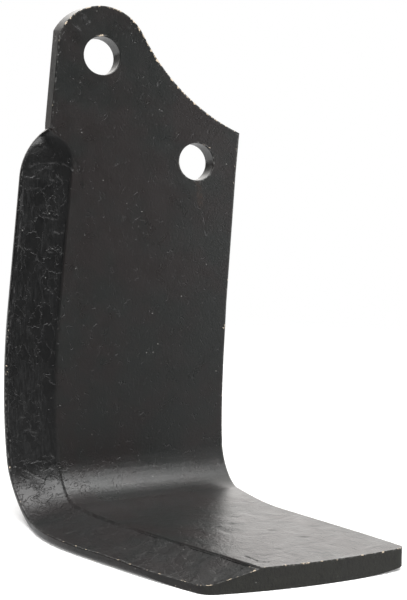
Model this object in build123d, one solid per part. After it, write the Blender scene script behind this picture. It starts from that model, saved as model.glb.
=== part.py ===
from build123d import *
from math import asin, atan2, cos, degrees, hypot, pi, radians, sin, sqrt
import os

# Rotary tiller blade: a flat steel bar, sheared and punched at its upper end,
# forged to a bevelled cutting edge along one side and bent to an L.
# Frame in millimetres: X runs across the bar from the cutting edge to the back edge,
# Z runs up the shank, and the flat face that seats on the rotor flange is the plane Y = 0.
# The origin is midway between the two bolt holes on that face. The foot points to -Y.

# Bar and bend
thickness = 8.0
bend_centre_drop = 136.0      # height of the origin above the bend's axis
bend_inside_radius = 16.0
bend_angle = 86.6             # the foot opens a little past a right angle
foot_reach = 98.8             # from the end of the bend to the rounded tip

# Bolt holes
hole_spacing = 57.0
hole_line_angle = 46.5        # the line of holes falls this much towards the back edge
hole_diameter = 15.0
hole_rim_break = 0.3

# Sheared upper end, measured on the inner face
ear_radius = 19.3
ear_offset = 0.35             # the shear runs this much off the upper hole's centre
shear_lean = 0.11             # the sheared side grows this much for each millimetre towards the outer face
neck_start_angle = 27.2       # where the ear's arc turns into the hollow neck
neck_radius = 83.3
neck_sweep = 40.0

# Cutting edge. Distances along the bar are taken at mid thickness, down from the origin.
lead_start = -40.7            # across the bar at the height of the origin
lead_lean = -0.1255           # drift across the bar for each millimetre along it
lead_straighten_start = 78.0
lead_straighten_length = 58.0
lead_straighten = 0.173       # change of drift over that length
lead_sweep_start = 158.0
lead_sweep_length = 44.0
lead_sweep = 0.305
lead_draw = 2.1               # the bend draws the thin edge in by this much
lead_draw_reach = 27.5
lead_draw_before_foot = 6.7
foot_spread = 1.4             # and along the foot it is forged further out
foot_spread_reach = 70.0
foot_spread_middle = 38.0     # from the start of the foot
nose_thickness = 3.45         # height of the blunt cutting edge
nose_round = 1.95             # on its outer side
nose_face = 0.3               # least height left flat where the nose gets thin
rim_radius = 0.45
tip_thinning = 1.6            # the nose gets this much thinner towards the tip
tip_thinning_length = 30.0

# Back edge of the bar, in the same terms
back_start = 40.85
back_lean = -0.1415
back_curve_start = 0.0
back_curve_length = 136.0
back_curve = 0.0915
back_straighten_start = 136.0
back_straighten_length = 26.0
back_straighten = 0.05
back_flare_start = 186.0
back_flare_length = 18.0
back_flare = 0.26
back_tuck_start = 236.0       # the edge turns in again near the tip
back_tuck_length = 24.0
back_tuck = -0.07
edge_radius = 0.8             # on the inner face
edge_roll = 0.6               # the outer face rolls off this much towards the back edge
edge_roll_radius = 3.0
bend_bulge = 1.1              # the squeezed inner corner swells outwards in the bend
bulge_reach = 14.0            # and fades over this length beyond it

# Forged bevel and its shoulder
forged_spread = 8.9           # the forging pushes the edge out past the bar's own side
shoulder_end = 25.7           # where the spread edge runs on straight
shoulder_radius = 22.7
bevel_width = 18.4
thumb_end = 21.5              # where the bevel's rounded upper end reaches full width
thumb_radius = 12.4
wall_start = 5.0              # the upper end wall drops from the face to the nose here
wall_length = 5.6
step_depth = 0.6
step_run = 1.4
step_least_run = 0.2          # share of the step's run left where the step fades out
step_soften = 0.35

# Tip
tip_bulge_radius = 190.0
tip_crown = 18.0              # across the bar, where the tip reaches furthest
tip_lead_corner_radius = 8.0
tip_back_corner_radius = 4.0
tip_side_relief = 0.1         # the trim leaves the sides of the foot at this slope
tip_side_bite = 0.3
corner_roll = 1.6             # the outer face also rolls off under the back corner of the tip
corner_roll_width = 21.0
corner_roll_length = 55.0

clear = 12.0                  # how far tools run past the metal

# Cross-sections that each curved length of the bar is drawn through
wall_sections = 3
shoulder_sections = 5
shank_sections = 4
bend_sections = 5
sweep_sections = 4

half_turn = 180
quarter_turn = 90
bend_neutral_radius = bend_inside_radius + thickness / 2
bend_outside_radius = bend_inside_radius + thickness
bend_length = bend_neutral_radius * radians(bend_angle)
foot_start = bend_centre_drop + bend_length
tip_end = foot_start + foot_reach
hole_half = Vector(cos(radians(hole_line_angle)), -sin(radians(hole_line_angle))) * (hole_spacing / 2)
upper_hole = hole_half * -1
lower_hole = hole_half
ear_centre = upper_hole + Vector(ear_offset, 0)
edge_roll_run = sqrt(edge_roll * (2 * edge_roll_radius - edge_roll))
edge_roll_turn = degrees(asin(edge_roll_run / edge_roll_radius))
wall_end = wall_start + wall_length
shoulder_rise = shoulder_radius - forged_spread
shoulder_start = shoulder_end - sqrt(shoulder_radius * shoulder_radius - shoulder_rise * shoulder_rise)
flare_end = back_flare_start + back_flare_length
plain_corner_width = rim_radius * 1.2


def turned(along, start, length, change):
    """Sideways shift gained by a gentle turn of the edge up to this distance."""
    run = min(max(along - start, 0), length)
    beyond = max(along - start - length, 0)
    return change * (run * run / (2 * length) + beyond)


def arc_drop(distance, radius):
    """How far a circle falls away from its tangent at this distance from the touching point."""
    reach = min(max(distance, 0), radius)
    return radius - sqrt(radius * radius - reach * reach)


def swell(along, middle, reach):
    """A soft hump that is one at its middle and fades to nothing over its reach."""
    offset = min(abs(along - middle) / reach, 1)
    return (1 + cos(pi * offset)) / 2


def eased(along, start, length):
    share = min(max((along - start) / length, 0), 1)
    return share * share * (3 - 2 * share)


def bar_side(along):
    """Cutting side of the plain bar, before the forging spreads it."""
    straightened = turned(along, lead_straighten_start, lead_straighten_length, lead_straighten)
    swept = turned(along, lead_sweep_start, lead_sweep_length, lead_sweep)
    return lead_start + lead_lean * along + straightened + swept


def cutting_edge(along):
    spread = forged_spread - arc_drop(shoulder_end - along, shoulder_radius)
    drawn_in = lead_draw * swell(along, foot_start - lead_draw_before_foot, lead_draw_reach)
    forged_out = foot_spread * swell(along, foot_start + foot_spread_middle, foot_spread_reach)
    return bar_side(along) - max(spread, 0) + drawn_in - forged_out


def bevel_inner_line(along):
    thumb = arc_drop(thumb_end - along, thumb_radius)
    return bar_side(along) - forged_spread + bevel_width - thumb


def bevel_span(along):
    """Width of the bevel. Above its upper end wall only a narrow eased corner is left."""
    share = min(max((along - wall_start) / wall_length, 0), 1)
    end_along = max(along, wall_end)
    span = bevel_inner_line(end_along) - cutting_edge(end_along)
    return plain_corner_width + (span - plain_corner_width) * share ** 3


def back_edge(along):
    curved = turned(along, back_curve_start, back_curve_length, back_curve)
    straightened = turned(along, back_straighten_start, back_straighten_length, back_straighten)
    flared = turned(along, back_flare_start, back_flare_length, back_flare)
    tucked = turned(along, back_tuck_start, back_tuck_length, back_tuck)
    return back_start + back_lean * along + curved + straightened + flared + tucked


def corner_bulge(along):
    return bend_bulge * swell(along, bend_centre_drop + bend_length / 2, bend_length / 2 + bulge_reach)


def nose_height(along):
    """Height of the nose's rim arc above the outer face, from the plain corner down to the thin tip."""
    forged = eased(along, wall_start, wall_length)
    thinned = tip_thinning * eased(along, tip_end - tip_thinning_length, tip_thinning_length)
    plain = thickness - rim_radius
    return plain + (nose_thickness - thinned - rim_radius - plain) * forged


def bar_plane(along):
    """Plane square to the bar at this distance, its origin on the outer face."""
    if along <= bend_centre_drop:
        return Plane((0, 0, -along), x_dir=(1, 0, 0), z_dir=(0, 0, -1))
    turn = min((along - bend_centre_drop) / bend_neutral_radius, radians(bend_angle))
    beyond = max(along - foot_start, 0)
    travel = Vector(0, -sin(turn), -cos(turn))
    centre = Vector(0, -bend_outside_radius, -bend_centre_drop)
    outward = Vector(0, cos(turn), -sin(turn))
    return Plane(centre + outward * bend_outside_radius + travel * beyond, x_dir=(1, 0, 0), z_dir=travel)


def bar_section(along):
    """Cross-section of the blade: round nose, rim, bevel, soft step, inner face, rolled back edge."""
    lead = cutting_edge(along)
    back = back_edge(along)
    inner_back = back + corner_bulge(along)
    height = nose_height(along)
    forged = eased(along, wall_start, wall_length)
    outer_round = rim_radius + (min(nose_round, height - nose_face) - rim_radius) * forged
    stepped = eased(along, wall_start, wall_length + thumb_radius)
    step = step_depth * stepped
    run = step_run * (step_least_run + (1 - step_least_run) * stepped)
    foot = Vector(lead + bevel_span(along), thickness - step)
    top = Vector(foot.X + run, thickness)
    rim = Vector(lead + rim_radius, height)
    to_foot = foot - rim
    rise = degrees(atan2(to_foot.Y, to_foot.X) - asin(rim_radius / hypot(to_foot.X, to_foot.Y)))
    rim_arc = CenterArc(rim, rim_radius, half_turn, rise - quarter_turn)
    slope = Vector(cos(radians(rise)), sin(radians(rise)))
    soften = min(run * step_soften, step)
    inner_corner = Vector(inner_back - edge_radius, thickness - edge_radius)
    roll_centre = (back - edge_roll_run, edge_roll_radius)
    roll_arc = CenterArc(roll_centre, edge_roll_radius, edge_roll_turn - quarter_turn, -edge_roll_turn)
    outline = [
        CenterArc((lead + outer_round, outer_round), outer_round, -quarter_turn, -quarter_turn),
        Line((lead, outer_round), (lead, height)),
        rim_arc,
        Line(rim_arc @ 1, foot),
        Bezier(foot, foot + slope * soften, top - Vector(run * step_soften, 0), top),
        Line(top, (inner_back - edge_radius, thickness)),
        CenterArc(inner_corner, edge_radius, quarter_turn, -quarter_turn),
        Line((inner_back, thickness - edge_radius), roll_arc @ 0),
        roll_arc,
        Line(roll_arc @ 1, (lead + outer_round, 0)),
    ]
    return bar_plane(along) * make_face(outline)


def bar_length(first, last, sections, straight=False):
    """One length of the bar, lofted through evenly spaced sections."""
    gap = (last - first) / (sections - 1)
    return loft([bar_section(first + gap * place) for place in range(sections)], ruled=straight)


def forged_bar():
    """The bar from its uncut upper end to beyond the tip, in lengths that meet face to face."""
    shank_top = ear_centre.Y + ear_radius + clear
    blank = bar_length(-shank_top, wall_start, 2, straight=True)
    blank += bar_length(wall_start, shoulder_start, wall_sections)
    blank += bar_length(shoulder_start, wall_end, wall_sections)
    blank += bar_length(wall_end, shoulder_end, shoulder_sections)
    blank += bar_length(shoulder_end, lead_straighten_start, 2, straight=True)
    blank += bar_length(lead_straighten_start, bend_centre_drop, shank_sections)
    blank += bar_length(bend_centre_drop, foot_start, bend_sections)
    foot = bar_length(foot_start, flare_end, sweep_sections)
    foot += bar_length(flare_end, tip_end + clear, sweep_sections)
    return blank + (foot & tip_trim()) - rolled_corner()


def tip_corner(across):
    return Vector(across, foot_reach - arc_drop(abs(across - tip_crown), tip_bulge_radius))


def foot_plan():
    """Plane of the foot's outer face, with Y along the foot and Z out of the metal."""
    outer_face = bar_plane(foot_start)
    return Plane(outer_face.origin, x_dir=(1, 0, 0), z_dir=outer_face.y_dir * -1)


def rolled_corner():
    """Metal missing under the back corner of the tip, bounded by a cylinder that touches the outer face."""
    plan = foot_plan()
    corner = tip_corner(back_edge(tip_end))
    front = corner - Vector(corner_roll_width, 0)
    rear = Vector(back_edge(tip_end - corner_roll_length), foot_reach - corner_roll_length)
    travel = (front - rear).normalized()
    across = Vector(travel.Y, -travel.X)
    reach = (corner - rear).dot(across)
    radius = (reach * reach + corner_roll * corner_roll) / (2 * corner_roll)
    arc = CenterArc((0, radius), radius, -quarter_turn, degrees(asin((reach + clear / 2) / radius)))
    beyond = Polyline(arc @ 1, ((arc @ 1).X, -clear), (0, -clear), (0, 0))
    start = plan.from_local_coords(rear)
    sideways = plan.from_local_coords(rear + across) - start
    along_arc = plan.from_local_coords(rear + travel) - start
    square_to_arc = Plane(start, x_dir=sideways, z_dir=along_arc)
    return square_to_arc * extrude(make_face([arc, beyond]), corner_roll_length + clear * 2, both=True)


def tip_trim():
    """Outline that the foot is trimmed to, with a crowned end and two rounded corners."""
    plan = foot_plan()
    lead_corner = tip_corner(cutting_edge(tip_end))
    back_corner = tip_corner(back_edge(tip_end) - tip_side_bite)
    run = foot_reach + clear
    lead_slope = (cutting_edge(tip_end) - cutting_edge(tip_end - clear)) / clear
    back_slope = (back_edge(tip_end) - back_edge(tip_end - clear)) / clear
    lead_rear = lead_corner - Vector(lead_slope + tip_side_relief, 1) * run
    back_rear = back_corner - Vector(back_slope - tip_side_relief, 1) * run
    outline = [
        ThreePointArc(lead_corner, (tip_crown, foot_reach), back_corner),
        Polyline(back_corner, back_rear, lead_rear, lead_corner),
    ]
    trim = make_face(outline)
    trim = fillet(trim.vertices().sort_by_distance(lead_corner)[0], tip_lead_corner_radius)
    trim = fillet(trim.vertices().sort_by_distance(back_corner)[0], tip_back_corner_radius)
    return plan * extrude(trim, thickness + clear, both=True)


def sheared_outline(depth):
    """Metal sheared off round the ear and along the hollow neck, at this depth below the inner face."""
    growth = shear_lean * depth
    start = ear_centre - Vector(ear_radius + growth, 0)
    ear = CenterArc(ear_centre, ear_radius + growth, half_turn, neck_start_angle - half_turn)
    neck = JernArc(ear @ 1, ear % 1, neck_radius - growth, neck_sweep)
    run_out = neck @ 1 + (neck % 1) * clear * 2
    top = ear_centre.Y + ear_radius + clear * 2
    left = ear_centre.X - ear_radius - clear * 2
    rest = Polyline(neck @ 1, run_out, (run_out.X, top), (left, top), (left, start.Y), start)
    return Plane.XZ.offset(thickness - depth) * make_face([ear, neck, rest])


def sheared_away():
    return loft([sheared_outline(-clear), sheared_outline(thickness + clear)], ruled=True)


def bolt_hole(centre):
    return extrude(Plane.XZ * (Pos(centre) * Circle(hole_diameter / 2)), thickness + clear, both=True)


def broken_rims(blade):
    """Both mouths of each bolt hole, their sharp rim broken."""
    rims = blade.edges().filter_by(GeomType.CIRCLE)
    rims = rims.filter_by(lambda rim: abs(rim.radius - hole_diameter / 2) < hole_rim_break / 2)
    rims = rims.filter_by(lambda rim: rim.is_closed)
    return chamfer(rims, hole_rim_break)


def tiller_blade():
    blade = forged_bar() - sheared_away()
    blade -= [bolt_hole(upper_hole), bolt_hole(lower_hole)]
    return broken_rims(blade)


if __name__ == "__main__":
    os.makedirs("parts", exist_ok=True)
    export_step(tiller_blade(), "parts/tiller_blade.step")
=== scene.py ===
import math

import bmesh
import bpy
from mathutils import Matrix, Vector, kdtree, noise


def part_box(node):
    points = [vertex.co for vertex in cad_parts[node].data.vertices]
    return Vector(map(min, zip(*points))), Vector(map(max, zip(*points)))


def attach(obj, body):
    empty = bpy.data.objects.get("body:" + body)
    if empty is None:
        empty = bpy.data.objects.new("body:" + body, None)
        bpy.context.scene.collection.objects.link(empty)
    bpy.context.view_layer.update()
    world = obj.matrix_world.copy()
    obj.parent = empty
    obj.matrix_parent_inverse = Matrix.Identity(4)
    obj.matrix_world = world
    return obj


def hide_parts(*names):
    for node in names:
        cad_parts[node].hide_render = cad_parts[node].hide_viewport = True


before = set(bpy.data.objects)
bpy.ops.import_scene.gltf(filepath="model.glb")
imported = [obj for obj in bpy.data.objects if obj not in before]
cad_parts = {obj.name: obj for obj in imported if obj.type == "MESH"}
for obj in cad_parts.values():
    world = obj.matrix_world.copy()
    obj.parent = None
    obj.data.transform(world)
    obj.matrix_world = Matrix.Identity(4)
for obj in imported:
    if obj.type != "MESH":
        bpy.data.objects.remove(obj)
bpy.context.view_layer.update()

print("frame loaded")

# Everything is in metres, in the CAD's own frame: X across the bar, Z up the shank, foot towards -Y

# The bar that the blade was bent from. Marks are placed on it as if it were still flat
barShape = {
    "bendDrop": 0.136,          # from the origin down to where the bend starts
    "bendRadius": 0.020,        # at mid thickness
    "outerRadius": 0.024,
    "bendAngle": math.radians(86.6),
    "thickness": 0.008,
    "footStart": 0.180,         # along the flat bar, past the bend
    "tipStart": 0.258,          # where the end face's corners begin
}

# Copy of the forged solid that carries the finish
bladeLook = {
    "node": "tiller_blade",
    "mergeDistance": 2e-6,
    "sliverDistance": 4e-6,
    "sliverArea": 1e-9,
    "smoothAngle": math.radians(28),
    "flatNormal": 0.93,         # faces that lie flatter than this get the grid
    "gridStep": 0.0030,
    "gridMargin": 0.00003,      # how far below the inner face the bevel counts as bevel
    "bevelNormal": 0.75,
    "bevelCuts": 2,             # each face of the forged bevel again, where the scale has relief
    "bevelBand": 0.027,
    "bevelStart": 0.008,
    "noseBand": 0.004,          # the blunt front of the cutting edge
    "lineNormal": 0.5,          # only the inner face and the bevel carry lines
    "lineCuts": 2,              # and each face beside a scratch or a flake's edge
    "lineBand": 0.0011,
    "linePointStep": 0.0001,
    "edgeSampleStep": 0.004,
    "rimPointStep": 0.0003,
}

# Relief of the skin, always inwards
reliefLook = {
    "waveSize": 0.012,
    "waveDepth": 0.00022,
    "rippleSize": 0.0045,
    "rippleDepth": 0.00010,
    "flakeSize": 0.0085,
    "flakeDepth": 0.00014,
    "flakeEdge": 0.12,
    "plateSize": 0.030,
    "plateDepth": 0.00004,
    "thumbCalm": 0.35,          # the thumb-shaped start of the bevel is this much as rough as the rest
    "thumbEnd": (0.016, 0.026),
    "rimFade": 0.0015,
    "faceNormal": 0.7,
    "shankLineDepth": 0.00007,
    "footLineDepth": 0.00022,
}

# Chipped paint: a higher number leaves less paint. Places are millimetres along and across the flat bar
chipLook = {
    "upperHole": (-20.7, -19.6),
    "holeBand": 10,
    "holeChip": (-28.7, -20.0),
    "holeChipSize": 2.5,
    "inHoleChip": 1.0,
    "besideHole": -0.2,
    "endStart": 256,
    "lowerEdge": 3,             # height, below which the end face's edge is hardly chipped
    "onLowerEdge": 0.1,
    "tipCorner": -10,
    "atTipCorner": 0.9,
    "onEndEdge": 0.7,
    "footStart": 200,
    "footNose": 0.7,
    "shearedEdge": (9, -16),    # the hollow neck lies above the first and right of the second
    "onShearedEdge": 1.0,
    "earTop": -27,
    "onEarTop": 0.9,
    "thumbEnd": 20,
    "shankNose": 0.5,
    "neckNose": 0.35,
    "backSide": 15,
    "onBackSide": 0.45,
    "elsewhere": 0.55,
}

# Edges of lifted scale, scratches and creases: points across and along the flat bar and a width, in mm
lightLines = (
    (((-50.8, 23.0), (-48.6, 22.3), (-46.6, 21.2), (-43.4, 21.1), (-37.3, 21.2), (-35.4, 22.1), (-33.9, 23.1),
      (-33.1, 24.1)), 0.32),
    (((-47.2, 27.1), (-45.0, 26.8)), 0.3),
    (((-41.6, 27.6), (-40.3, 27.8)), 0.3),
    (((-40.6, 24.3), (-37.5, 27.7), (-37.0, 29.0)), 0.25),
    (((-51.3, 30.5), (-48.9, 30.9), (-46.5, 30.6)), 0.3),
    (((-44.6, 41.8), (-41.3, 42.7), (-37.9, 43.5)), 0.25),
    (((-41.1, 47.6), (-39.0, 48.6)), 0.25),
    (((-44.3, 55.4), (-41.8, 55.6)), 0.25),
    (((-52.3, 33.6), (-53.5, 41.6), (-54.3, 52.8)), 0.25),
    (((-57.5, 120.6), (-56.5, 119.2), (-53.4, 119.1)), 0.35),
    (((-57.6, 126.4), (-56.4, 124.6), (-53.9, 124.4), (-50.5, 125.5), (-48.9, 124.6)), 0.35),
    (((-46.0, 133.6), (-44.9, 134.9), (-43.8, 136.1)), 0.5),
    (((26.3, 48.0), (22.1, 51.2)), 0.3),
    (((-30.5, -31.5), (-28.2, -30.0)), 0.15),
    (((-28.0, -36.6), (-25.2, -35.0)), 0.2),
    (((-28.4, -35.4), (-26.2, -34.6)), 0.2),
    (((-27.0, -34.4), (-24.4, -33.4)), 0.15),
    (((-30.3, 251.1), (-30.8, 256.3)), 0.3),
)
# Dark lines are pressed into the skin and darkened with painted shade
darkLines = (
    (((-32.1, 19.2), (-30.6, 23.9), (-29.2, 32.0)), 0.5),
    (((-58.9, 137.5), (-54.0, 140.5), (-48.3, 145.0)), 0.7),
    (((-57.0, 142.0), (-52.0, 145.5), (-49.0, 150.0)), 0.6),
    (((-55.0, 146.0), (-50.0, 150.0), (-47.0, 156.0)), 0.6),
    (((-4.2, 218.9), (-4.1, 221.7)), 1.2),
    (((-6.0, 214.0), (-3.5, 214.6)), 1.0),
    (((0.7, 212.7), (2.7, 213.6)), 1.3),
    (((2.6, 247.2), (3.6, 247.6)), 1.2),
    (((6.0, 205.0), (8.5, 206.0)), 0.9),
    (((-10.7, 250.0), (-9.4, 256.0)), 1.0),
    (((-8.9, 257.5), (-6.0, 258.6)), 1.0),
    (((10.0, 226.0), (12.0, 227.0)), 0.9),
    (((16.0, 238.0), (18.5, 238.4)), 0.9),
)


def selectOnly(piece):
    bpy.ops.object.select_all(action="DESELECT")
    piece.select_set(True)
    bpy.context.view_layer.objects.active = piece


# Along the flat bar, across it and above its outer face
def flattened(point):
    drop, outer, turn = barShape["bendDrop"], barShape["outerRadius"], barShape["bendAngle"]
    if point.z >= -drop:
        return Vector((-point.z, point.x, -point.y))
    out, down = point.y + outer, -point.z - drop
    beyond = down * math.cos(turn) - out * math.sin(turn)
    if beyond > 0:
        along = drop + barShape["bendRadius"] * turn + beyond
        return Vector((along, point.x, outer - out * math.cos(turn) - down * math.sin(turn)))
    along = drop + barShape["bendRadius"] * math.atan2(down, out)
    return Vector((along, point.x, outer - math.hypot(out, down)))


def bentAgain(point):
    drop, outer, turn = barShape["bendDrop"], barShape["outerRadius"], barShape["bendAngle"]
    if point.x <= drop:
        return Vector((point.y, -point.z, -point.x))
    angle = min((point.x - drop) / barShape["bendRadius"], turn)
    beyond = max(point.x - drop - barShape["bendRadius"] * turn, 0)
    reach = outer - point.z
    return Vector((point.y,
                   reach * math.cos(angle) - beyond * math.sin(angle) - outer,
                   -drop - reach * math.sin(angle) - beyond * math.cos(angle)))


def rangeOf(mesh, axis):
    places = [vertex.co[axis] for vertex in mesh.vertices]
    return min(places), max(places)


# Cuts faces across one axis at even steps, from the low side up, and gives back all their parts
def cutAcross(work, faces, axis, low, high, step):
    hair = 1e-7
    direction = Vector((0, 0, 0))
    direction[axis] = 1
    waiting, done = list(faces), []
    for count in range(int((high - low) / step)):
        place = low + (count + 0.5) * step
        crossing, above = [], []
        for face in waiting:
            reach = [vertex.co[axis] for vertex in face.verts]
            if min(reach) > place - hair:
                above.append(face)
            elif max(reach) > place + hair:
                crossing.append(face)
            else:
                done.append(face)
        if crossing:
            pieces = set(crossing)
            for face in crossing:
                pieces.update(face.edges)
                pieces.update(face.verts)
            cut = bmesh.ops.bisect_plane(work, geom=list(pieces), dist=hair,
                                         plane_co=direction * place, plane_no=direction)
            for item in cut["geom"]:
                if isinstance(item, bmesh.types.BMFace):
                    (above if item.calc_center_median()[axis] > place else done).append(item)
        waiting = above
    return done + waiting


# An even grid on the flat faces, finer on the bevel and beside each marked line
def cutGrid(mesh):
    step = bladeLook["gridStep"]
    front = leadingEdge(mesh)
    high = barShape["thickness"] - bladeLook["gridMargin"]
    work = bmesh.new()
    work.from_mesh(mesh)
    work.normal_update()
    faces = [face for face in work.faces if abs(face.normal.z) > bladeLook["flatNormal"]]
    for axis in (1, 0):
        faces = cutAcross(work, faces, axis, *rangeOf(mesh, axis), step)
    bevel = set()
    for face in faces:
        along, across, height = face.calc_center_median()
        onBevel = along > bladeLook["bevelStart"] and across - front(along) < bladeLook["bevelBand"]
        if onBevel and height < high and face.normal.z > bladeLook["bevelNormal"]:
            bevel.update(face.edges)
    bmesh.ops.subdivide_edges(work, edges=list(bevel), cuts=bladeLook["bevelCuts"], use_grid_fill=True)
    work.normal_update()
    beside = set()
    toLine = lineRuler(lightLines + darkLines)
    for face in work.faces:
        if face.normal.z > bladeLook["lineNormal"]:
            if toLine(face.calc_center_median()) < bladeLook["lineBand"]:
                beside.update(face.edges)
    bmesh.ops.subdivide_edges(work, edges=list(beside), cuts=bladeLook["lineCuts"], use_grid_fill=True)
    bmesh.ops.dissolve_degenerate(work, dist=bladeLook["sliverDistance"], edges=work.edges[:])
    bmesh.ops.triangulate(work, faces=work.faces[:])
    work.to_mesh(mesh)
    work.free()


def treeOf(points):
    tree = kdtree.KDTree(len(points))
    for index, point in enumerate(points):
        tree.insert(point, index)
    tree.balance()
    return tree


# How far a point of the flat bar is from the nearest line, less half the line's width
def lineRuler(lines):
    points, halves = [], []
    for corners, width in lines:
        for start, end in zip(corners, corners[1:]):
            first = Vector((start[1], start[0], 0)) / 1000
            last = Vector((end[1], end[0], 0)) / 1000
            count = max(1, math.ceil((last - first).length / bladeLook["linePointStep"]))
            points += [first.lerp(last, part / count) for part in range(count + 1)]
            halves += [width / 2000] * (count + 1)
    tree = treeOf(points)

    def reach(place):
        index, distance = tree.find((place.x, place.y, 0))[1:]
        return distance - halves[index]

    return reach


# The cutting edge's place across the bar, at any distance along it
def leadingEdge(mesh):
    step = bladeLook["edgeSampleStep"]
    lowest = {}
    for vertex in mesh.vertices:
        key = round(vertex.co.x / step)
        lowest[key] = min(lowest.get(key, math.inf), vertex.co.y)
    first, last = min(lowest), max(lowest)
    for key in range(first, last + 1):
        lowest.setdefault(key, lowest.get(key - 1, 0))

    def place(along):
        at = min(max(along / step, first), last - 0.001)
        key = math.floor(at)
        return lowest[key] + (lowest[key + 1] - lowest[key]) * (at - key)

    return place


# Points along the edges where a flat face meets a side, close enough together to measure from
def rimPoints(mesh):
    sides = {}
    for face in mesh.polygons:
        if face.area < bladeLook["sliverArea"]:
            continue
        flat = abs(face.normal.z) > bladeLook["flatNormal"]
        for key in face.edge_keys:
            sides.setdefault(key, set()).add(flat)
    points = []
    front = leadingEdge(mesh)
    stepStart = bladeLook["bevelStart"] - 0.003
    for (first, second), kinds in sides.items():
        start, end = mesh.vertices[first].co, mesh.vertices[second].co
        besideNose = bladeLook["noseBand"] < start.y - front(start.x) < bladeLook["bevelBand"]
        onStep = besideNose and stepStart < start.x < barShape["tipStart"] and start.z > 0.001
        if len(kinds) < 2 or onStep:
            continue
        count = max(1, int((end - start).length / bladeLook["rimPointStep"]))
        points += [start.lerp(end, part / count) for part in range(count + 1)]
    return treeOf(points)


def soft(value, low, high):
    part = min(max((value - low) / (high - low), 0), 1)
    return part * part * (3 - 2 * part)


def storeValues(mesh, name, kind, values):
    layer = mesh.attributes.new(name, kind, "POINT")
    layer.data.foreach_set("vector" if kind == "FLOAT_VECTOR" else "value", values)


# How much of the paint is chipped off the edges, by where they are on the flat bar
def chipping(place, lead):
    look = chipLook
    along, across, height = place * 1000
    onNose = lead < bladeLook["noseBand"]
    if math.dist((along, across), look["upperHole"]) < look["holeBand"]:
        chipped = math.dist((along, across), look["holeChip"]) < look["holeChipSize"]
        return look["inHoleChip"] if chipped else look["besideHole"]
    if along > look["endStart"] and height < look["lowerEdge"]:
        return look["onLowerEdge"]
    if along > look["endStart"]:
        return look["atTipCorner"] if across < look["tipCorner"] else look["onEndEdge"]
    if along > look["footStart"] and onNose:
        return look["footNose"]
    if along < look["shearedEdge"][0] and across > look["shearedEdge"][1]:
        return look["onShearedEdge"]
    if along < look["earTop"]:
        return look["onEarTop"]
    if onNose:
        return look["shankNose"] if along > look["thumbEnd"] else look["neckNose"]
    return look["onBackSide"] if across > look["backSide"] else look["elsewhere"]


# Forging waves, lifted flakes of scale and a slightly uneven plate
def skinDepth(place, forged, rim):
    look = reliefLook
    wave = noise.noise(place / look["waveSize"])
    ripple = noise.noise(place / look["rippleSize"] + Vector((7, 3, 1)))
    flake = noise.fractal(place / look["flakeSize"] + Vector((2, 9, 4)), 1.0, 2.0, 3)
    plate = noise.noise(place / look["plateSize"] + Vector((5, 5, 5)))
    deep = (look["waveDepth"] * (0.5 - 0.5 * wave)
            + look["rippleDepth"] * (0.5 - 0.5 * ripple)
            + look["flakeDepth"] * (1 - soft(flake, 0, look["flakeEdge"])))
    deep *= look["thumbCalm"] + (1 - look["thumbCalm"]) * soft(place.x, *look["thumbEnd"])
    shallow = look["plateDepth"] * (0.5 - 0.5 * plate)
    return (deep * forged + shallow * (1 - forged)) * soft(rim, 0, look["rimFade"])


# The solid's copy, rolled out flat, with close points merged
def flatCopy():
    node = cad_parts[bladeLook["node"]]
    piece = bpy.data.objects.new("forged_blade", node.data.copy())
    bpy.context.scene.collection.objects.link(piece)
    selectOnly(piece)
    bpy.ops.object.mode_set(mode="EDIT")
    bpy.ops.mesh.select_all(action="SELECT")
    bpy.ops.mesh.remove_doubles(threshold=bladeLook["mergeDistance"])
    bpy.ops.mesh.customdata_custom_splitnormals_clear()
    bpy.ops.object.mode_set(mode="OBJECT")
    for vertex in piece.data.vertices:
        vertex.co = flattened(vertex.co)
    piece.data.update()
    return piece


# Writes down each point's place and marks for the paint, presses the skin in and bends the bar again
def pressedSkin(mesh):
    front = leadingEdge(mesh)
    rims = rimPoints(mesh)
    toLight, toDark = lineRuler(lightLines), lineRuler(darkLines)
    start = bladeLook["bevelStart"]
    marks = ("edgeReach", "leadReach", "forged", "lightLine", "darkLine", "chipping")
    values = {name: [] for name in marks}
    places, moved = [], []
    for vertex in mesh.vertices:
        place, normal = vertex.co.copy(), vertex.normal.copy()
        reach = rims.find(place)[2]
        lead = place.y - front(place.x)
        sunk = soft(barShape["thickness"] - place.z, 0.00002, 0.0004) * soft(normal.z, 0.3, 0.7)
        besideEdge = soft(bladeLook["bevelBand"] - lead, 0, 0.002)
        forged = sunk * besideEdge * soft(place.x, start - 0.001, start + 0.001)
        light = dark = 0
        if normal.z > bladeLook["lineNormal"]:
            wander = 0.0003 * noise.noise(place / 0.0012)
            broken = soft(noise.noise(place / 0.0017 + Vector((4, 4, 4))), -0.55, -0.1)
            light = broken * (1 - soft(toLight(place) + wander, -0.0001, 0.00025))
            dark = 1 - soft(toDark(place) + wander, -0.0003, 0.0004)
        for name, value in zip(marks, (reach, lead, forged, light, dark, chipping(place, lead))):
            values[name].append(value)
        places.extend(place)
        if abs(normal.z) > reliefLook["faceNormal"]:
            onFoot = place.x > barShape["footStart"]
            lineDepth = reliefLook["footLineDepth"] if onFoot else reliefLook["shankLineDepth"]
            depth = skinDepth(place, forged, reach) + lineDepth * dark
            place.z -= math.copysign(depth, normal.z)
        moved.append(bentAgain(place))
    storeValues(mesh, "barPlace", "FLOAT_VECTOR", places)
    for name in marks:
        storeValues(mesh, name, "FLOAT", values[name])
    for vertex, place in zip(mesh.vertices, moved):
        vertex.co = place
    mesh.update()


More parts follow.
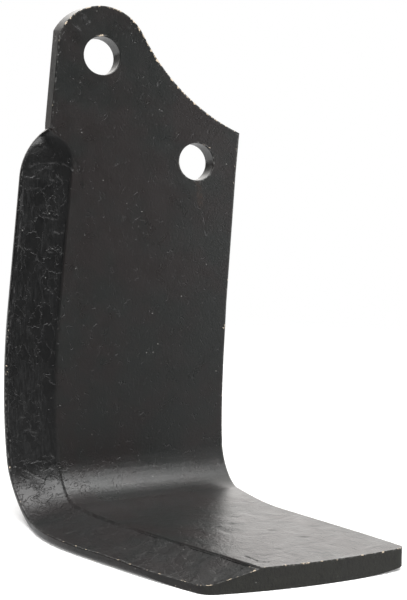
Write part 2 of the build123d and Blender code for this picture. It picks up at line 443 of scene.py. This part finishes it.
def dressedBlade():
    piece = flatCopy()
    cutGrid(piece.data)
    piece.data.update()
    pressedSkin(piece.data)
    print("grid cut:", len(piece.data.polygons), "triangles")
    selectOnly(piece)
    bpy.ops.object.shade_smooth_by_angle(angle=bladeLook["smoothAngle"])
    even = piece.modifiers.new("evenShading", "WEIGHTED_NORMAL")
    even.keep_sharp = True
    bpy.ops.object.modifier_apply(modifier=even.name)
    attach(piece, "root")
    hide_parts(bladeLook["node"])
    return piece


# Short ways to wire a material
def addNode(tree, kind, **settings):
    node = tree.nodes.new(kind)
    for name, value in settings.items():
        setattr(node, name, value)
    return node


def feed(tree, socket, value):
    if isinstance(value, bpy.types.NodeSocket):
        tree.links.new(value, socket)
    else:
        socket.default_value = value


def calc(tree, operation, *values, clamp=False):
    node = addNode(tree, "ShaderNodeMath", operation=operation, use_clamp=clamp)
    for socket, value in zip(node.inputs, values):
        feed(tree, socket, value)
    return node.outputs[0]


def chain(tree, operation, values):
    result = values[0]
    for value in values[1:]:
        result = calc(tree, operation, result, value)
    return result


def product(tree, *values):
    return chain(tree, "MULTIPLY", values)


def total(tree, *values):
    return chain(tree, "ADD", values)


def largest(tree, *values):
    return chain(tree, "MAXIMUM", values)


def less(tree, first, second):
    return calc(tree, "SUBTRACT", first, second)


def apart(tree, first, second):
    return calc(tree, "ABSOLUTE", less(tree, first, second))


def split(tree, vector):
    node = addNode(tree, "ShaderNodeSeparateXYZ")
    feed(tree, node.inputs[0], vector)
    return node.outputs


def vectorCalc(tree, operation, *values):
    node = addNode(tree, "ShaderNodeVectorMath", operation=operation)
    sockets = [node.inputs[0], node.inputs["Scale"]] if operation == "SCALE" else list(node.inputs)
    for socket, value in zip(sockets, values):
        feed(tree, socket, value)
    return node.outputs["Value" if operation in ("DOT_PRODUCT", "LENGTH", "DISTANCE") else "Vector"]


def between(tree, value, low, high, start=0.0, end=1.0):
    node = addNode(tree, "ShaderNodeMapRange", interpolation_type="SMOOTHSTEP")
    parts = {"Value": value, "From Min": low, "From Max": high, "To Min": start, "To Max": end}
    for label, part in parts.items():
        feed(tree, node.inputs[label], part)
    return node.outputs["Result"]


def cloud(tree, place, scale, detail=2.0, roughness=0.5, distortion=0.0):
    node = addNode(tree, "ShaderNodeTexNoise")
    parts = {"Vector": place, "Scale": scale, "Detail": detail, "Roughness": roughness,
             "Distortion": distortion}
    for label, part in parts.items():
        feed(tree, node.inputs[label], part)
    return node.outputs["Fac"]


# Soft-edged spots where a cloud is thick
def spots(tree, place, look):
    mask = cloud(tree, place, look["scale"], look.get("detail", 2.0), look.get("roughness", 0.5))
    return between(tree, mask, *look["levels"])


# Thin lines that run where a cloud crosses its middle
def veins(tree, place, look):
    mask = cloud(tree, place, look["scale"], look["detail"], look["roughness"], look["distortion"])
    return between(tree, apart(tree, mask, 0.5), 0.0, look["width"], 1.0, 0.0)


def cellsOf(tree, place, scale, feature, randomness=1.0):
    node = addNode(tree, "ShaderNodeTexVoronoi", feature=feature)
    for label, value in (("Vector", place), ("Scale", scale), ("Randomness", randomness)):
        feed(tree, node.inputs[label], value)
    return node.outputs


def blend(tree, mask, first, second):
    node = addNode(tree, "ShaderNodeMix", data_type="RGBA")
    feed(tree, node.inputs[0], mask)
    feed(tree, node.inputs[6], first)
    feed(tree, node.inputs[7], second)
    return node.outputs[2]


def newGroup(name, inputs, outputs):
    group = bpy.data.node_groups.new(name, "ShaderNodeTree")
    for label, kind in inputs:
        group.interface.new_socket(label, in_out="INPUT", socket_type=kind)
    for label, kind in outputs:
        group.interface.new_socket(label, in_out="OUTPUT", socket_type=kind)
    return group, addNode(group, "NodeGroupInput").outputs, addNode(group, "NodeGroupOutput").inputs


def placeGroup(tree, group, values):
    node = addNode(tree, "ShaderNodeGroup", node_tree=group)
    for label, value in values.items():
        feed(tree, node.inputs[label], value)
    return node.outputs


# Blocky islands of scale: where they stand and where their broken outlines run
islandLook = {
    "bendScale": 0.5,
    "bendReach": 3.2,
    "stretch": (0.55, 1.0, 0.5),
    "scatter": 0.9,
    "share": (0.56, 0.60),      # cells darker than this are bare
    "breaks": {"scale": 0.45, "levels": (0.50, 0.62)},
}


def scaleGroup():
    group, given, result = newGroup("forgeScale", (
        ("Place", "NodeSocketVector"), ("Size", "NodeSocketFloat"), ("Line", "NodeSocketFloat")),
        (("Height", "NodeSocketFloat"), ("Outline", "NodeSocketFloat")))
    shift = addNode(group, "ShaderNodeTexNoise")
    for label, value in (("Vector", given["Place"]), ("Scale", islandLook["bendScale"]), ("Detail", 2.0)):
        feed(group, shift.inputs[label], value)
    sway = vectorCalc(group, "SCALE", shift.outputs["Color"], islandLook["bendReach"])
    swayed = vectorCalc(group, "ADD", given["Place"], sway)
    blocks = vectorCalc(group, "MULTIPLY", swayed, islandLook["stretch"])
    cells = cellsOf(group, blocks, given["Size"], "F1", islandLook["scatter"])
    edges = cellsOf(group, blocks, given["Size"], "DISTANCE_TO_EDGE", islandLook["scatter"])
    island = between(group, split(group, cells["Color"])["X"], *islandLook["share"])
    inside = between(group, edges["Distance"], 0.0, given["Line"])
    rim = product(group, island, less(group, 1.0, inside))
    feed(group, result["Height"], product(group, island, inside))
    feed(group, result["Outline"], product(group, rim, spots(group, given["Place"], islandLook["breaks"])))
    return group


# Chips and a thin rubbed line beside the edges
wearLook = {
    "chipWidth": 1.3,
    "chipScale": 0.55,
    "fewestChips": 0.76,
    "moreChips": 0.25,
    "chipEdge": 0.02,
    "rubBand": (0.2, 0.6),
    "rubScale": 1.1,
    "leastRubbed": 0.62,
    "moreRubbed": 0.22,
    "rubEdge": 0.1,
}


def wearGroup():
    look = wearLook
    group, given, result = newGroup("edgeWear", (
        ("Place", "NodeSocketVector"), ("Reach", "NodeSocketFloat"), ("Width", "NodeSocketFloat"),
        ("Amount", "NodeSocketFloat")), (("Chips", "NodeSocketFloat"), ("Rubbed", "NodeSocketFloat")))
    close = between(group, given["Reach"], 0.0, given["Width"], 1.0, 0.0)
    lumps = cloud(group, given["Place"], look["chipScale"], 3.0, 0.65)
    limit = less(group, look["fewestChips"], product(group, given["Amount"], close, look["moreChips"]))
    chips = between(group, lumps, limit, total(group, limit, look["chipEdge"]))
    feed(group, result["Chips"], product(group, chips, between(group, close, 0.02, 0.1)))
    thin = between(group, given["Reach"], *look["rubBand"], 1.0, 0.0)
    rarer = less(group, look["leastRubbed"], product(group, given["Amount"], look["moreRubbed"]))
    specks = cloud(group, given["Place"], look["rubScale"], 2.0, 0.6)
    dots = between(group, specks, rarer, total(group, rarer, look["rubEdge"]))
    feed(group, result["Rubbed"], product(group, thin, dots))
    return group


# Semi-gloss black paint. Places and widths are millimetres of the flat bar, scales turns per millimetre
paintLook = {
    "cool": (0.0098, 0.0108, 0.0104, 1),
    "warm": (0.0124, 0.0102, 0.0100, 1),
    # bevel: painted shade, a dark paint tone for the dark surroundings that the bevel mirrors
    "bevel": (0.0018, 0.0019, 0.0021, 1),
    "bevelLight": (0.0115, 0.0117, 0.0120, 1),
    "outline": (0.040, 0.040, 0.040, 1),
    "creaseShadeAndSawMarks": (0.004, 0.004, 0.004, 1),
    # painted shade in the pressed lines, creases and flow lines; also the end face's dark saw marks
    "rubbed": (0.085, 0.085, 0.082, 1),
    "chip": (0.46, 0.38, 0.29, 1),
    "dust": (0.17, 0.17, 0.16, 1),
    "rust": (0.040, 0.022, 0.014, 1),
    "endFace": (0.0125, 0.0125, 0.0095, 1),
    "patches": {"scale": 0.05, "detail": 4.0, "roughness": 0.6, "levels": (0.36, 0.64)},
    "grainScale": 1.1,
    "smearScale": 0.12,
    "creases": {"scale": 0.28, "detail": 2.0, "roughness": 0.5, "distortion": 0.7, "width": 0.014},
    "creaseBreaks": {"scale": 0.35, "levels": (0.50, 0.62)},
    "creaseSlant": math.radians(-40),
    "creaseStretch": (0.45, 1.0, 1.0),
    "flow": {"scale": 0.75, "detail": 3.0, "roughness": 0.55, "distortion": 0.9, "width": 0.03},
    "flowBreaks": {"scale": 0.2, "levels": (0.42, 0.56)},
    "flowStretch": (0.5, 0.3, 0.4),
    "flowSides": (-22, -42, 0.12, 1.0),         # across the bar: weak right of the first, full at the second
    "bendRise": (130, 142),
    "bendFall": (166, 190),
    "scaleRise": (24, 34),
    "thumbFall": (22, 18),
    "islandSize": 0.26,
    "islandLine": 0.06,
    "islandOutline": 0.4,
    "streakStretch": (0.25, 1.5, 0.5),
    "stepShadeHeights": (6.4, 7.5),                  # heights of the painted shade at the bevel's inner step, above the outer face
    "stepShadeFall": (120, 150, 0.8, 0.0),
    "bevelShadeFall": (160, 130, 0.25, 1.0),         # the bevel's painted shade is weaker once it is on the foot
    "rimLineWidth": 0.45,
    "rimLineBreaks": {"scale": 0.4, "levels": (0.42, 0.55)},
    "rimLine": 0.6,
    "rustRun": ((28.5, 20.0, 8), (38.5, 21.2, 8)),
    "rustWidth": 2.2,
    "dustScale": 0.32,
    "dustSize": (0.05, 0.11),
    "dustShare": (0.78, 0.95),
    "endRise": (250, 255),
    "footRise": (165, 185),
    "roughness": 0.30,
    "smearRoughness": 0.16,
    "wornRoughness": 0.3,
    "bevelRoughness": (90, 135, 0.04, 0.10),    # added from the shank to the bend
    "footRoughness": 0.05,
    "endRoughness": 0.25,
    "bump": 0.00010,
    "bumpOf": {"shankGrain": 0.5, "footGrain": 0.7, "footSmears": 3.5, "flow": -0.9, "islands": 0.6,
               "lines": 0.35, "creases": -0.7, "chips": -1.2},
}


# Where a point is on the flat bar, which marks it bears and how far it is from the edges, in millimetres
def barSockets(tree):
    def stored(name, label="Fac"):
        return addNode(tree, "ShaderNodeAttribute", attribute_name=name).outputs[label]

    bar = {name: stored(name) for name in ("forged", "lightLine", "darkLine", "chipping")}
    bar["place"] = vectorCalc(tree, "SCALE", stored("barPlace", "Vector"), 1000)
    bar["along"], bar["across"], bar["height"] = split(tree, bar["place"])
    bar["lead"] = product(tree, stored("leadReach"), 1000)
    facing = split(tree, addNode(tree, "ShaderNodeNewGeometry").outputs["Normal"])
    turn = less(tree, bar["along"], barShape["bendDrop"] * 1000)
    turn = calc(tree, "DIVIDE", turn, barShape["bendRadius"] * 1000)
    turn = calc(tree, "MINIMUM", largest(tree, turn, 0), barShape["bendAngle"])
    level = apart(tree, product(tree, facing["Z"], calc(tree, "SINE", turn)),
                  product(tree, facing["Y"], calc(tree, "COSINE", turn)))
    depth = calc(tree, "MINIMUM", bar["height"], less(tree, barShape["thickness"] * 1000, bar["height"]))
    inward = product(tree, between(tree, level, 0.75, 0.5), depth)
    bar["reach"] = total(tree, product(tree, stored("edgeReach"), 1000), inward)
    endward = between(tree, product(tree, facing["Y"], -1), 0.6, 0.8)
    bar["onEnd"] = product(tree, endward, between(tree, bar["along"], *paintLook["endRise"]))
    bar["onFoot"] = between(tree, bar["along"], *paintLook["footRise"])
    return bar


# Faint creases, all slanting the same way
def creaseMask(tree, place):
    slant = addNode(tree, "ShaderNodeMapping")
    slant.inputs["Rotation"].default_value = (0, 0, paintLook["creaseSlant"])
    slant.inputs["Scale"].default_value = paintLook["creaseStretch"]
    feed(tree, slant.inputs["Vector"], place)
    creases = veins(tree, slant.outputs[0], paintLook["creases"])
    return product(tree, creases, spots(tree, place, paintLook["creaseBreaks"]))


# Lines of flow round the bend's stretched skin
def flowMask(tree, bar):
    inBend = product(tree, between(tree, bar["along"], *paintLook["bendRise"]),
                     between(tree, bar["along"], *paintLook["bendFall"], 1.0, 0.0))
    stretched = vectorCalc(tree, "MULTIPLY", bar["place"], paintLook["flowStretch"])
    flow = veins(tree, stretched, paintLook["flow"])
    return product(tree, flow, inBend, spots(tree, bar["place"], paintLook["flowBreaks"]),
                   between(tree, bar["across"], *paintLook["flowSides"]))


# Forged bevel: painted shade darkens it, standing in for the dark surroundings it mirrors, with paler streaks
# of scale across it, and the painted shade is darkest at its inner step
def bevelToneAndShade(tree, bar, streaks, islands):
    look = paintLook
    smooth = largest(tree, islands, between(tree, bar["along"], *look["thumbFall"]))
    pale = product(tree, between(tree, streaks, 0.35, 0.75), less(tree, 1.0, product(tree, smooth, 0.8)))
    tone = blend(tree, pale, look["bevel"], look["bevelLight"])
    # Painted shade, darkest along the bevel's inner step
    step = product(tree, between(tree, bar["height"], *look["stepShadeHeights"]),
                   between(tree, bar["along"], *look["stepShadeFall"]))
    return blend(tree, step, tone, look["bevel"])


# Light lines: the marked ones, the islands' outlines and a wavy line beside the cutting edge
def lineMask(tree, bar, inBevel, onBevel, outline, smears):
    wavy = total(tree, 0.7, product(tree, smears, 1.2))
    beside = between(tree, apart(tree, bar["lead"], wavy), 0.0, paintLook["rimLineWidth"], 1.0, 0.0)
    rimLine = product(tree, beside, inBevel, spots(tree, bar["place"], paintLook["rimLineBreaks"]))
    marked = product(tree, bar["lightLine"], between(tree, onBevel, 0.0, 1.0, 0.9, 0.5))
    return largest(tree, marked, product(tree, outline, inBevel, paintLook["islandOutline"]),
                   product(tree, rimLine, paintLook["rimLine"]))


# Faint rust that ran straight down from the lower hole
def rustMask(tree, place):
    start, end = (Vector(point) for point in paintLook["rustRun"])
    span = end - start
    reach = vectorCalc(tree, "SUBTRACT", place, start)
    along = vectorCalc(tree, "DOT_PRODUCT", reach, span)
    part = calc(tree, "DIVIDE", along, span.length_squared, clamp=True)
    distance = vectorCalc(tree, "DISTANCE", reach, vectorCalc(tree, "SCALE", span, part))
    width = paintLook["rustWidth"]
    return between(tree, distance, 0.3 * width, 0.9 * width, 1.0, 0.0)


def dustMask(tree, place):
    specks = cellsOf(tree, place, paintLook["dustScale"], "F1")
    return product(tree, between(tree, specks["Distance"], *paintLook["dustSize"], 1.0, 0.0),
                   between(tree, split(tree, specks["Color"])["X"], *paintLook["dustShare"]))


def blackPaint():
    look = paintLook
    material = bpy.data.materials.new("blackPaint")
    material.use_nodes = True
    tree = material.node_tree
    shader = tree.nodes["Principled BSDF"]
    bar = barSockets(tree)
    place, along, forged = bar["place"], bar["along"], bar["forged"]
    grain = cloud(tree, place, look["grainScale"], 3.0, 0.6)
    smears = cloud(tree, place, look["smearScale"], 3.0, 0.5, 0.8)
    streaks = cloud(tree, vectorCalc(tree, "MULTIPLY", place, look["streakStretch"]), 1.0, 3.0, 0.6)
    creases = creaseMask(tree, place)
    flow = flowMask(tree, bar)
    onBevel = between(tree, forged, 0.7, 0.95)
    inBevel = product(tree, onBevel, between(tree, along, *look["scaleRise"]))
    scale = placeGroup(tree, scaleGroup(), {"Place": place, "Size": look["islandSize"],
                                            "Line": look["islandLine"]})
    lines = lineMask(tree, bar, inBevel, onBevel, scale["Outline"], smears)

    # Paint tone: warm and cool patches, the bevel's painted shade, light lines, and painted shade in the dark
    # lines, creases and flow lines
    colour = blend(tree, spots(tree, place, look["patches"]), look["cool"], look["warm"])
    onShank = between(tree, along, *look["bevelShadeFall"])
    forgedToneAndShade = bevelToneAndShade(tree, bar, streaks, scale["Height"])
    colour = blend(tree, product(tree, forged, onShank), colour, forgedToneAndShade)
    grainy = between(tree, grain, 0.35, 0.6, 0.2, 1.0)
    colour = blend(tree, product(tree, lines, grainy), colour, look["outline"])
    # Painted shade: the pressed dark lines, the creases and the flow lines are darkened where shade falls in
    # them
    deep = largest(tree, bar["darkLine"], product(tree, creases, 0.9), product(tree, flow, 0.7))
    colour = blend(tree, product(tree, deep, 0.8), colour, look["creaseShadeAndSawMarks"])

    # The end face was painted over a rough cut
    mottled = product(tree, bar["onEnd"], between(tree, smears, 0.3, 0.6, 0.6, 1.0))
    colour = blend(tree, mottled, colour, look["endFace"])
    sawn = product(tree, bar["onEnd"], between(tree, streaks, 0.45, 0.7, 0.0, 0.7))
    colour = blend(tree, sawn, colour, look["creaseShadeAndSawMarks"])

    rust = product(tree, rustMask(tree, place), between(tree, grain, 0.4, 0.65, 0.05, 0.35))
    colour = blend(tree, rust, colour, look["rust"])
    colour = blend(tree, product(tree, dustMask(tree, place), 0.8), colour, look["dust"])

    # Worn edges, chipped to the primer
    wear = placeGroup(tree, wearGroup(), {"Place": place, "Reach": bar["reach"],
                                          "Width": wearLook["chipWidth"], "Amount": bar["chipping"]})
    offEnd = less(tree, 1.0, product(tree, bar["onEnd"], between(tree, bar["reach"], 0.5, 1.0)))
    chips = product(tree, wear["Chips"], offEnd)
    colour = blend(tree, product(tree, wear["Rubbed"], offEnd, 0.8), colour, look["rubbed"])
    colour = blend(tree, chips, colour, look["chip"])
    feed(tree, shader.inputs["Base Color"], colour)

    bevelRough = product(tree, forged, between(tree, along, *look["bevelRoughness"]))
    rough = total(tree, look["roughness"],
                  product(tree, less(tree, smears, 0.5), look["smearRoughness"]),
                  product(tree, largest(tree, chips, lines), look["wornRoughness"]),
                  bevelRough,
                  product(tree, bar["onFoot"], look["footRoughness"]))
    rough = calc(tree, "ADD", rough, product(tree, bar["onEnd"], look["endRoughness"]), clamp=True)
    feed(tree, shader.inputs["Roughness"], rough)
    shader.inputs["IOR"].default_value = 1.5

    bumpOf = look["bumpOf"]
    grainHeight = total(tree, bumpOf["shankGrain"], product(tree, bar["onFoot"], bumpOf["footGrain"]))
    height = total(tree, product(tree, grain, grainHeight),
                   product(tree, smears, bar["onFoot"], bumpOf["footSmears"]),
                   product(tree, flow, bumpOf["flow"]),
                   product(tree, scale["Height"], inBevel, bumpOf["islands"]),
                   product(tree, lines, bumpOf["lines"]),
                   product(tree, creases, bumpOf["creases"]),
                   product(tree, chips, bumpOf["chips"]))
    bump = addNode(tree, "ShaderNodeBump")
    bump.inputs["Distance"].default_value = look["bump"]
    feed(tree, bump.inputs["Height"], height)
    feed(tree, shader.inputs["Normal"], bump.outputs["Normal"])
    return material


blade = dressedBlade()
blade.data.materials.clear()
blade.data.materials.append(blackPaint())
print("blade dressed")

# Studio: a white sweep that the foot rests on, a large soft light high in front and one at the right
studioLook = {
    "footSlope": math.radians(3.4),
    "floorSize": 8.0,
    "floorColour": (0.86, 0.86, 0.86, 1),
    "floorRoughness": 0.8,
    "floorShine": 0.1,
    "floorGap": 0.0001,
    "shadowReach": (0.25, 0.6),     # past this the camera sees plain white
    "floorLift": 0.2,               # added to the lit floor, so that it is white
    "floorAhead": 0.40,             # the floor in front as the paint mirrors it
    "aheadReach": (-0.25, 0.1),
    "skyBehind": 2.5,               # mirrored by the foot at a grazing angle, and by the edges
    "skyLeft": 0.05,
    "skyFront": 0.05,
    "skyAbove": 0.6,
    "skyDiffuse": 0.3,
    "skyTint": (1, 0.975, 0.95, 1),
}

# Both lamps: where they stand, what they face, width, height and watts
lampLook = {
    "topLight": ((-0.22, -1.14, 2.1), (0, -0.05, -0.1), 2.4, 2.8, 130),
    "rightLight": ((1.12, -1.05, -0.1), (0, -0.05, -0.15), 0.8, 1.0, 8),
}


def studioFloor():
    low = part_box(bladeLook["node"])[0]
    bpy.ops.object.select_all(action="DESELECT")
    bpy.ops.mesh.primitive_plane_add(size=studioLook["floorSize"], rotation=(studioLook["footSlope"], 0, 0),
                                     location=(0, low.y, low.z - studioLook["floorGap"]))
    floor = bpy.context.object
    floor.name = "studio_floor"
    bpy.ops.object.transform_apply(location=True, rotation=True, scale=True)
    material = bpy.data.materials.new("whitePaper")
    material.use_nodes = True
    tree = material.node_tree
    shader = tree.nodes["Principled BSDF"]
    shader.inputs["Base Color"].default_value = studioLook["floorColour"]
    shader.inputs["Roughness"].default_value = studioLook["floorRoughness"]
    shader.inputs["Specular IOR Level"].default_value = studioLook["floorShine"]
    shader.inputs["Emission Color"].default_value = (1, 1, 1, 1)
    shader.inputs["Emission Strength"].default_value = studioLook["floorLift"]
    glow = addNode(tree, "ShaderNodeEmission")
    spot = addNode(tree, "ShaderNodeTexCoord").outputs["Object"]
    path = addNode(tree, "ShaderNodeLightPath").outputs
    distance = vectorCalc(tree, "LENGTH", spot)
    far = product(tree, between(tree, distance, *studioLook["shadowReach"]), path["Is Camera Ray"])
    mirrored = calc(tree, "ADD", path["Is Glossy Ray"], path["Is Transmission Ray"], clamp=True)
    ahead = between(tree, split(tree, spot)["Y"], *studioLook["aheadReach"], studioLook["floorAhead"], 1.0)
    feed(tree, glow.inputs["Strength"], largest(tree, ahead, path["Is Camera Ray"]))
    mix = addNode(tree, "ShaderNodeMixShader")
    feed(tree, mix.inputs[0], largest(tree, far, mirrored))
    feed(tree, mix.inputs[1], shader.outputs[0])
    feed(tree, mix.inputs[2], glow.outputs[0])
    feed(tree, tree.nodes["Material Output"].inputs["Surface"], mix.outputs[0])
    floor.data.materials.append(material)


def studioWorld():
    world = bpy.data.worlds.new("studioWorld")
    bpy.context.scene.world = world
    world.use_nodes = True
    tree = world.node_tree
    tree.nodes.clear()
    background = addNode(tree, "ShaderNodeBackground")
    axes = split(tree, addNode(tree, "ShaderNodeTexCoord").outputs["Generated"])
    path = addNode(tree, "ShaderNodeLightPath").outputs

    def choose(mask, first, second):
        node = addNode(tree, "ShaderNodeMix", data_type="FLOAT")
        feed(tree, node.inputs["Factor"], mask)
        feed(tree, node.inputs["A"], first)
        feed(tree, node.inputs["B"], second)
        return node.outputs["Result"]

    ahead = between(tree, axes["Z"], 0.15, 0.95, studioLook["skyFront"], studioLook["skyAbove"])
    behind = between(tree, axes["X"], -0.35, 0.2, studioLook["skyLeft"], studioLook["skyBehind"])
    around = choose(between(tree, axes["Y"], -0.35, 0.35), ahead, behind)
    spread = choose(path["Is Diffuse Ray"], around, studioLook["skyDiffuse"])
    white = largest(tree, path["Is Camera Ray"], path["Is Transmission Ray"])
    feed(tree, background.inputs["Strength"], choose(white, spread, 1.0))
    feed(tree, background.inputs["Color"], blend(tree, white, studioLook["skyTint"], (1, 1, 1, 1)))
    output = addNode(tree, "ShaderNodeOutputWorld")
    feed(tree, output.inputs["Surface"], background.outputs[0])


def softLight(name, place, aim, width, height, power):
    light = bpy.data.lights.new(name, "AREA")
    light.shape = "RECTANGLE"
    light.size = width
    light.size_y = height
    light.energy = power
    holder = bpy.data.objects.new(name, light)
    bpy.context.scene.collection.objects.link(holder)
    holder.location = place
    holder.rotation_euler = (Vector(aim) - Vector(place)).to_track_quat("-Z", "Y").to_euler()


studioFloor()
studioWorld()
for lampName, lamp in lampLook.items():
    softLight(lampName, *lamp)
print("studio lit")

# Camera, fitted to the photograph's own view: a long lens, a little above the foot
cameraLook = {
    "place": (-0.19804, -0.48985, -0.04897),
    "forward": (0.4136, 0.9090, -0.0526),
    "up": (0.0444, 0.0376, 0.9983),
    "lens": 78.0,
    "sensor": 36.0,
    "nearest": 0.01,
}


def photographer():
    camera = bpy.data.cameras.new("photographer")
    camera.lens = cameraLook["lens"]
    camera.sensor_width = cameraLook["sensor"]
    camera.clip_start = cameraLook["nearest"]
    holder = bpy.data.objects.new("photographer", camera)
    bpy.context.scene.collection.objects.link(holder)
    back = -Vector(cameraLook["forward"]).normalized()
    right = Vector(cameraLook["up"]).cross(back).normalized()
    up = back.cross(right)
    turn = Matrix((right, up, back)).transposed().to_4x4()
    holder.matrix_world = Matrix.Translation(cameraLook["place"]) @ turn
    bpy.context.scene.camera = holder


photographer()
bpy.context.scene.view_settings.view_transform = "Standard"
